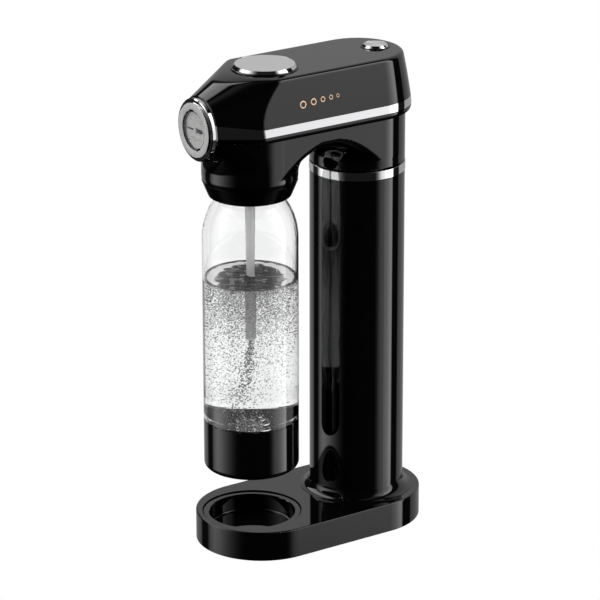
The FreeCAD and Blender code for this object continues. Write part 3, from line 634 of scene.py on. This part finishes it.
# ---------------------------------------------------------------- gauge
satin = painted("gauge_satin", rgb(0.80), rgb(0.86), (0.22, 0.32), 500.0)
face_profile = [(16.9, 110.3), (16.9, 110.55), (17.3, 110.75), (22.6, 110.75), (23.1, 110.6), (23.25, 110.3)]
face_ring = spin("gauge_face_ring", face_profile[::-1], 0, 0, 30.0, 128, True, gauge_z)
dress(face_ring, "root", satin)

bore_profile = [(16.75, 106.5), (16.75, 110.5), (16.5, 110.6), (16.4, 110.5), (16.4, 106.5)]
bore = spin("gauge_bore", bore_profile, 0, 0, 30.0, 96, True, gauge_z)
dress(bore, "root", materials["gloss_black"])

dial_front = 107.9
plate = spin("gauge_dial_plate", [(0, dial_front - 0.6), (16.4, dial_front - 0.6), (16.4, dial_front - 0.1),
                                  (16.3, dial_front), (0, dial_front)], 0, 0, 30.0, 96, True, gauge_z)
dress(plate, "root", materials["dial_face"], ["gauge_dial"])
glass_profile = [(0, 109.7), (16.3, 109.7), (16.3, 110.1), (12.0, 110.3), (6.0, 110.42), (0, 110.45)]
glass = spin("gauge_glass", glass_profile, 0, 0, 30.0, 96, True, gauge_z)
dress(glass, "root", materials["clear_lens"], ["gauge_lens"])


def pointer(name, turn, front):
    """Thin blade and broad tail round a hub, on the gauge's axis."""
    outline = [(-0.35, 13.4), (0.35, 13.4), (0.75, 2.0), (1.9, -1.2), (1.5, -3.0), (1.6, -9.6), (-1.6, -9.6),
               (-1.5, -3.0), (-1.9, -1.2), (-0.75, 2.0)]
    a = math.radians(turn)
    points = []
    for height in (front, front - 0.4):
        for side, reach in outline:
            points.append((reach * math.cos(a) - side * math.sin(a), -height,
                           gauge_z + reach * math.sin(a) + side * math.cos(a)))
    n = len(outline)
    faces = [list(range(n)), list(range(2 * n - 1, n - 1, -1))]
    faces += [[i, i + n, (i + 1) % n + n, (i + 1) % n] for i in range(n)]
    return new_piece(name, points, faces, sharp=20.0)


dress(pointer("gauge_pointer", 182.0, 108.9), "gauge_needle", materials["needle_black"],
      ["gauge_needle"])
cap_profile = [(0, 109.45), (1.7, 109.4), (2.2, 109.2), (2.3, 108.2), (0, 108.2)]
cap = spin("needle_cap", cap_profile[::-1], 0, 0, 40.0, 48, True, gauge_z)
dress(cap, "gauge_needle", satin)

mark_points, mark_faces = [], []


def mark(angle, inner, outer, width, front=dial_front + 0.06):
    """Printed bar on the dial that points at its centre."""
    a = math.radians(angle)
    out = np.array((math.cos(a), 0.0, math.sin(a)))
    side = np.array((-math.sin(a), 0.0, math.cos(a))) * width / 2
    face = np.array((0.0, -front, gauge_z))
    back = np.array((0.0, 0.05, 0.0))
    base = len(mark_points)
    for depth in (0, 1):
        mark_points.extend([face + back * depth + out * r + side * s
                            for r, s in ((inner, -1), (outer, -1), (outer, 1), (inner, 1))])
    mark_faces.extend([[base + i for i in quad] for quad in
                       ((0, 1, 2, 3), (7, 6, 5, 4), (0, 4, 5, 1), (1, 5, 6, 2), (2, 6, 7, 3), (3, 7, 4, 0))])


for i in range(25):
    mark(-45 + 270 / 24 * i, 13.6 if i % 4 == 0 else 14.6, 15.6, 0.55 if i % 4 == 0 else 0.3)
for i in range(7):
    mark(-45 + 45 * i, 10.4, 11.5, 0.9)
for x in (-3.6, -1.2, 1.2, 3.6):
    mark(270 + x * 9, 8.2, 9.4, 0.8)
marks = new_piece("gauge_marks", mark_points, mark_faces, sharp=20.0)
dress(marks, "root", painted("dial_print", rgb(0.10), rgb(0.16), (0.5, 0.6)))
mark_points, mark_faces = [], []
mark(98, 15.9, 17.6, 6.5, 110.8)
mark(-63, 15.9, 17.6, 6.5, 110.8)
slits = new_piece("gauge_slits", mark_points, mark_faces, sharp=20.0)
dress(slits, "root", materials["gloss_black"])


# ---------------------------------------------------------------- copper rings on the side of the head
ring_points, ring_faces = [], []


def side_at(y, z):
    """Place on the right-hand side of the head, found by stepping along X."""
    x = head_half + 1.0
    for _ in range(30):
        x -= float(head_field(np.array([x]), np.array([y]), np.array([z]))[0])
    return x


def side_ring(y, z, outer, inner):
    """Thin raised ring that follows the side of the head."""
    steps = 40
    base = len(ring_points)
    section = ((-0.3, outer), (0.14, outer), (0.2, outer - 0.12), (0.2, inner + 0.12), (0.14, inner),
               (-0.3, inner))
    for lift, radius in section:
        for k in range(steps):
            t = 2 * math.pi * k / steps
            py, pz = y + radius * math.cos(t), z + radius * math.sin(t)
            ring_points.append((side_at(py, pz) + lift, py, pz))
    for ring in range(6):
        after = (ring + 1) % 6
        for k in range(steps):
            n = (k + 1) % steps
            ring_faces.append([base + ring * steps + k, base + ring * steps + n, base + after * steps + n,
                              base + after * steps + k])


for y, z, outer in ((-30.0, 401.3, 3.3), (-19.4, 402.0, 2.9), (-10.0, 402.6, 2.4), (-1.8, 403.0, 2.0),
                    (5.2, 403.3, 1.6)):
    side_ring(y, z, outer, outer * 0.62)
copper_rings = new_piece("copper_rings", ring_points, ring_faces, sharp=40.0)
copper = plain_metal("copper", rgb(0.60, 0.40, 0.27), rgb(0.74, 0.52, 0.37), (0.3, 0.45),
                     (300.0, 300.0, 300.0))
dress(copper_rings, "root", copper)


# ---------------------------------------------------------------- water and bubbles
def ball(level):
    bm = bmesh.new()
    bmesh.ops.create_icosphere(bm, subdivisions=level, radius=1.0)
    bm.verts.index_update()
    verts = np.array([v.co[:] for v in bm.verts])
    tris = np.array([[v.index for v in f.verts] for f in bm.faces])
    bm.free()
    return verts, tris


def bubbles(name, centres, radii, level, flat=1.0):
    """One piece made of many balls."""
    verts, tris = ball(level)
    radii = np.asarray(radii)[:, None, None]
    points = np.asarray(centres)[:, None, :] + verts[None] * radii * np.array((1.0, 1.0, flat))
    faces = tris[None] + (np.arange(len(centres)) * len(verts))[:, None, None]
    return new_piece(name, points.reshape(-1, 3), faces.reshape(-1, 3))


water_radius = bottle_radius - 1.42
water_profile = [(0, water_top - 0.3), (water_radius - 0.6, water_top - 0.3), (water_radius, water_top - 0.9),
                 (water_radius, 120.0), (37.0, 114.6), (36.9, 86.0), (34.8, 80.8), (30.0, 78.0), (0, 77.5)]
water = spin("water", water_profile[::-1], 0, bottle_y, 25.0)
dress(water, "bottle", clear("water", (0.985, 0.99, 0.99), (0.0, 0.008), 1.333, 0.00001))

liner_profile = [(37.25, 114.4), (37.15, 86.0), (34.95, 80.5), (30.0, 77.6), (0, 77.1), (0, 77.3),
                 (30.0, 77.8), (34.87, 80.65), (37.05, 86.0), (37.15, 114.4)]
liner = spin("cup_seen_inside", liner_profile[::-1], 0, bottle_y, 25.0)
matte = Nodes("cup_inside")
matte.set(Base_Color=matte.mix(matte.noise(80.0), rgb(0.002), rgb(0.006)), Specular_IOR_Level=0.1,
          Roughness=matte.ramp(matte.noise(400.0), 0.5, 0.7))
dress(liner, "bottle", matte.material)

random = np.random.RandomState(7)
crosswise = np.array((0.559, 0.829))
lengthwise = np.array((-0.829, 0.559))


def in_bottle(u, v, z):
    """Places from distances along two crossed level directions, from the bottle's axis."""
    xy = np.outer(u, crosswise) + np.outer(v, lengthwise)
    return np.column_stack((xy[:, 0], xy[:, 1] + bottle_y, z))


def fine_bubbles(count):
    """Cloud that is densest under the surface and thins out downwards, to one side and near the base cup."""
    tries = 4000
    cloud_foot = 118.0
    kept = np.zeros((0, 3))
    while len(kept) < count:
        r = bubble_reach * np.sqrt(random.rand(tries))
        t = 2 * math.pi * random.rand(tries)
        z = cloud_foot + (water_top - 1.5 - cloud_foot) * random.rand(tries)
        u, v = r * np.cos(t), r * np.sin(t)
        height = (z - cloud_foot) / (water_top - cloud_foot)
        keep = 0.16 + 0.84 * height ** 2 - 0.22 * (u / 39.0) * (1 - height)
        keep *= np.where(z > 114.4 + 0.364 * (37.0 - v) + 3.0 * random.rand(tries), 1.0, 0.06)
        chosen = random.rand(tries) < keep
        kept = np.concatenate((kept, in_bottle(u, v, z)[chosen]))
    return kept[:count]


def bubble_grey(name, low, high):
    """Small bubbles read as specks, from nearly white to mid grey."""
    m = Nodes(name)
    speck = m.noise(900.0, 0.0)
    m.set(Base_Color=m.mix(m.ramp(speck, 0.0, 1.0, 0.35, 0.65), low, high),
          Roughness=m.ramp(m.noise(500.0), 0.12, 0.3), IOR=1.33)
    return m.material


dark_speck = bubble_grey("bubble_dark", rgb(0.12), rgb(0.55))
pale_speck = bubble_grey("bubble_pale", rgb(0.55), rgb(0.97))
haze_speck = bubble_grey("bubble_haze", rgb(0.34), rgb(0.60))
cloud = fine_bubbles(10000)
size = 0.22 + 0.28 * random.rand(len(cloud)) ** 2
half = len(cloud) // 2
dress(bubbles("bubbles_fine_a", cloud[:half], size[:half], 1), "bottle", dark_speck)
dress(bubbles("bubbles_fine_b", cloud[half:], size[half:], 1), "bottle", pale_speck)

haze_count = 9000
haze_turn = 2 * math.pi * random.rand(haze_count)
haze_reach = bubble_reach * np.sqrt(random.rand(haze_count))
haze = in_bottle(haze_reach * np.cos(haze_turn), haze_reach * np.sin(haze_turn),
                 water_top - 1.0 - 42.0 * random.rand(haze_count) ** 1.8)
dress(bubbles("bubbles_haze", haze, 0.2 + 0.12 * random.rand(haze_count), 1), "bottle", haze_speck)

tip = edge("carbonation_tube", 0, 2)
fall = random.rand(520)
plume = in_bottle(-9.0 * fall ** 1.4 + (1.6 + 7.0 * fall) * random.randn(520) * 0.5,
                  (1.6 + 7.0 * fall) * random.randn(520) * 0.5, tip - 1.0 - (tip - 122.0) * fall)
dress(bubbles("bubbles_plume", plume, 0.3 + 0.4 * random.rand(520), 1), "bottle", haze_speck)

rim_turn = 2 * math.pi * random.rand(420)
rim_reach = 38.6 - 2.2 * random.rand(420) ** 2
foam = np.column_stack((rim_reach * np.cos(rim_turn), bottle_y + rim_reach * np.sin(rim_turn),
                        water_top - 1.6 * random.rand(420)))
dress(bubbles("bubbles_rim", foam, 0.35 + 0.45 * random.rand(420), 1), "bottle", pale_speck)

bubble_glass = clear("bubble_glass", (0.93, 0.94, 0.93), (0.0, 0.01), 1.33, 0.00001)
big = [(-8.0, -6.0, 106.0, 6.0), (3.0, -9.0, 103.5, 7.0), (12.0, -6.0, 107.0, 4.6), (-2.0, 2.0, 112.0, 4.4),
       (-12.0, 0.0, 110.0, 3.4), (8.0, 3.0, 112.0, 3.6)]
big = np.array(big)
dress(bubbles("bubbles_big", in_bottle(big[:, 0], big[:, 1], big[:, 2]), big[:, 3], 4, 0.72), "bottle",
      bubble_glass)
near = random.randn(200, 3) * (5.0, 5.0, 4.0) + (-1.0, -1.0, 110.0)
near = near[np.hypot(near[:, 0], near[:, 1]) < 14]
dress(bubbles("bubbles_cluster", in_bottle(near[:, 0], near[:, 1], near[:, 2]),
              0.5 + 1.4 * random.rand(len(near)) ** 2, 2), "bottle", bubble_glass)
near = random.randn(300, 3) * (5.5, 5.5, 4.5) + (-1.0, 0.0, 111.0)
near = near[np.hypot(near[:, 0], near[:, 1]) < 15]
dress(bubbles("bubbles_froth", in_bottle(near[:, 0], near[:, 1], near[:, 2]),
              0.25 + 0.45 * random.rand(len(near)), 1), "bottle", haze_speck)


def water_surface():
    """Churned surface: a fan of rings with small waves that rise at the wall and round the tube."""
    rings, turns = 34, 120
    reach = np.linspace(4.0, water_radius - 0.05, rings)
    turn = np.arange(turns) * 2 * math.pi / turns
    r, t = np.meshgrid(reach, turn, indexing="ij")
    x, y = r * np.cos(t), r * np.sin(t)
    wave = np.zeros_like(x)
    for _ in range(26):
        kx, ky = random.randn(2) * 0.42
        wave += 0.10 * np.sin(kx * x + ky * y + 6.3 * random.rand())
    wave *= np.clip((water_radius - r) / 4.0, 0.15, 1.0)
    lift = 0.9 * np.exp(-(water_radius - r) / 0.9) + 0.8 * np.exp(-(r - 4.0) / 1.2)
    top = np.stack([x, y + bottle_y, water_top + wave + lift], 2).reshape(-1, 3)
    under = top.copy()
    under[:, 2] -= 0.35
    points = np.concatenate((top, under))
    lower_half = rings * turns
    faces = []
    for i in range(rings - 1):
        for k in range(turns):
            n = (k + 1) % turns
            quad = [i * turns + k, (i + 1) * turns + k, (i + 1) * turns + n, i * turns + n]
            faces += [quad, [q + lower_half for q in quad[::-1]]]
    for i, flip in ((0, False), (rings - 1, True)):
        for k in range(turns):
            n = (k + 1) % turns
            quad = [i * turns + k, i * turns + n, lower_half + i * turns + n, lower_half + i * turns + k]
            faces.append(quad[::-1] if flip else quad)
    return new_piece("water_surface", points, faces, sharp=60.0)


def painted_reflection_water():
    """Painted reflections on the water: a painted dark broken reflection in the middle, pale painted
    highlights towards the wall and a painted dark line at the wall, all also given as glow.
    """
    m = Nodes("water_painted_reflection")
    place = m.add("ShaderNodeSeparateXYZ", Vector=m.offset(0, bottle_y, water_top))
    px, py = place.outputs[0], place.outputs[1]
    u = m.math("ADD", m.math("MULTIPLY", px, crosswise[0]), m.math("MULTIPLY", py, crosswise[1]))
    v = m.math("ADD", m.math("MULTIPLY", px, lengthwise[0]), m.math("MULTIPLY", py, lengthwise[1]))
    u = m.math("DIVIDE", u, 29.0 * MM)
    v = m.math("DIVIDE", m.math("ADD", v, 7.0 * MM), 38.0 * MM)
    reach = m.math("ADD", m.math("MULTIPLY", u, u), m.math("MULTIPLY", v, v))
    reach = m.math("ADD", reach, m.math("MULTIPLY", m.math("SUBTRACT", m.noise(150.0, 3.0), 0.5), 0.9))
    # mask for the pale painted highlights, outside a noisy oval round the bottle's axis
    highlight_mask = m.ramp(reach, 0.0, 1.0, 0.93, 1.07)
    wall = m.math("SQRT", m.math("ADD", m.math("MULTIPLY", px, px), m.math("MULTIPLY", py, py)))
    # painted dark line at the wall: the colour turns dark past about 37.9 mm from the bottle's axis, a
    # painted reflection
    rim = m.ramp(m.math("ADD", wall, m.math("MULTIPLY", m.noise(300.0), 1.0 * MM)), 0.0, 1.0, 37.4 * MM,
                 37.9 * MM)
    streaks = m.ramp(m.noise(420.0, 5.0, 0.7), 0.0, 1.0, 0.55, 0.72)
    # painted dark reflection in the middle of the surface, broken by streaks
    painted_dark_reflection = m.mix(streaks, rgb(0.003), rgb(0.06, 0.063, 0.055))
    painted_highlight = m.mix(m.noise(200.0, 3.0), rgb(0.75), rgb(0.97))
    painted_reflection_colour = m.mix(highlight_mask, painted_dark_reflection, painted_highlight)
    painted_reflection_colour = m.mix(rim, painted_reflection_colour, rgb(0.05, 0.05, 0.045))
    # the painted colour is also emitted, so the surface glows
    m.set(Base_Color=painted_reflection_colour, Emission_Color=painted_reflection_colour, Emission_Strength=0.35, Specular_IOR_Level=0.05,
          Roughness=m.ramp(streaks, 0.25, 0.5), IOR=1.33)
    m.bump(m.noise(260.0, 4.0, 0.6), 0.0003, 0.6)
    return m.material


dress(water_surface(), "bottle", painted_reflection_water())


# ---------------------------------------------------------------- stage
def seen_white(tree, other):
    """White for camera and transmission rays, and the other shader for the rest."""
    paths = tree.nodes.new("ShaderNodeLightPath")
    seen = tree.nodes.new("ShaderNodeMath")
    seen.operation = "MAXIMUM"
    tree.links.new(paths.outputs["Is Camera Ray"], seen.inputs[0])
    tree.links.new(paths.outputs["Is Transmission Ray"], seen.inputs[1])
    white = tree.nodes.new("ShaderNodeEmission")
    white.inputs["Color"].default_value = rgb(1.0)
    blend = tree.nodes.new("ShaderNodeMixShader")
    tree.links.new(seen.outputs[0], blend.inputs[0])
    tree.links.new(other, blend.inputs[1])
    tree.links.new(white.outputs[0], blend.inputs[2])
    return blend.outputs[0]


floor = bpy.data.objects.new("floor", bpy.data.meshes.new("floor"))
floor.data.from_pydata([(-6, -6, 0), (6, -6, 0), (6, 6, 0), (-6, 6, 0)], [], [(0, 1, 2, 3)])
bpy.context.scene.collection.objects.link(floor)
pale_floor = Nodes("pale_floor")
see_through = pale_floor.add("ShaderNodeBsdfTransparent")
pale_floor.put(pale_floor.out, "Surface", seen_white(pale_floor.tree, see_through.outputs[0]))
floor.data.materials.append(pale_floor.material)

world = bpy.data.worlds.new("studio")
bpy.context.scene.world = world
world.use_nodes = True
tree = world.node_tree
tree.nodes.clear()


def join(value, socket):
    if isinstance(value, bpy.types.NodeSocket):
        tree.links.new(value, socket)
    else:
        socket.default_value = value


def world_math(operation, *values):
    node = tree.nodes.new("ShaderNodeMath")
    node.operation = operation
    for socket, value in zip(node.inputs, values):
        join(value, socket)
    return node.outputs[0]


def world_range(value, start, end, low=0.0, high=1.0):
    node = tree.nodes.new("ShaderNodeMapRange")
    for socket, number in zip(("Value", "From Min", "From Max", "To Min", "To Max"),
                              (value, start, end, low, high)):
        join(number, node.inputs[socket])
    return node.outputs["Result"]


def window(value, low, high, edge_width):
    """1 between low and high and 0 outside, with soft edges."""
    rise = world_range(value, low - edge_width, low + edge_width)
    drop = world_range(value, high - edge_width, high + edge_width, 1.0, 0.0)
    return world_math("MULTIPLY", rise, drop)


# brightness round the horizon, by azimuth in degrees: 0 is in front of the gauge, 90 to the right
ring_light = [(-180, 0.45), (-78, 0.45), (-72, 0.02), (-54, 0.02), (-46, 1.0), (-35, 1.9), (-24, 1.8),
              (-12, 1.15), (0, 0.55), (10, 0.22), (20, 0.05), (28, 0.012), (100, 0.012), (106, 0.15),
              (118, 1.1), (126, 1.3), (136, 2.2), (145, 3.3), (149.5, 3.0), (152, 0.01), (173, 0.01),
              (177, 0.45), (180, 0.45)]
brightest = 4.0
parts = tree.nodes.new("ShaderNodeSeparateXYZ")
join(tree.nodes.new("ShaderNodeTexCoord").outputs["Generated"], parts.inputs[0])
rise = parts.outputs["Z"]
azimuth = world_math("ARCTAN2", parts.outputs["X"], world_math("MULTIPLY", parts.outputs["Y"], -1.0))
azimuth = world_math("MULTIPLY", azimuth, 180 / math.pi)
ramp = tree.nodes.new("ShaderNodeValToRGB")
join(world_range(azimuth, -180, 180), ramp.inputs[0])
stops = ramp.color_ramp.elements
while len(stops) > 1:
    stops.remove(stops[-1])
stops[0].position = 0.0
stops[0].color = rgb(ring_light[0][1] / brightest)
for angle, level in ring_light[1:]:
    stop = stops.new((angle + 180) / 360)
    stop.color = rgb(level / brightest)
side_light = world_math("MULTIPLY", ramp.outputs["Color"], brightest)
side_light = world_math("MULTIPLY", side_light, world_range(rise, -0.45, -0.38, 0.03, 1.0))
side_light = world_math("MULTIPLY", side_light, world_range(rise, 0.74, 0.86, 1.0, 0.1))
side_light = world_math("MULTIPLY", side_light, world_range(rise, -0.1, 0.35, 1.0, 1.3))
dark_gap = world_math("MULTIPLY", window(azimuth, -103, -66, 1.5), world_range(rise, -0.25, -0.05))
side_light = world_math("MULTIPLY", side_light, world_range(dark_gap, 0.0, 1.0, 1.0, 0.04))
overhead = world_math("MULTIPLY", window(azimuth, -97, -58, 2.0), window(rise, 0.48, 0.90, 0.015))
level = world_math("MULTIPLY_ADD", overhead, 2.6, side_light)
glow = tree.nodes.new("ShaderNodeBackground")
glow.inputs["Color"].default_value = rgb(1.0)
join(level, glow.inputs["Strength"])
output = tree.nodes.new("ShaderNodeOutputWorld")
join(seen_white(tree, glow.outputs[0]), output.inputs[0])
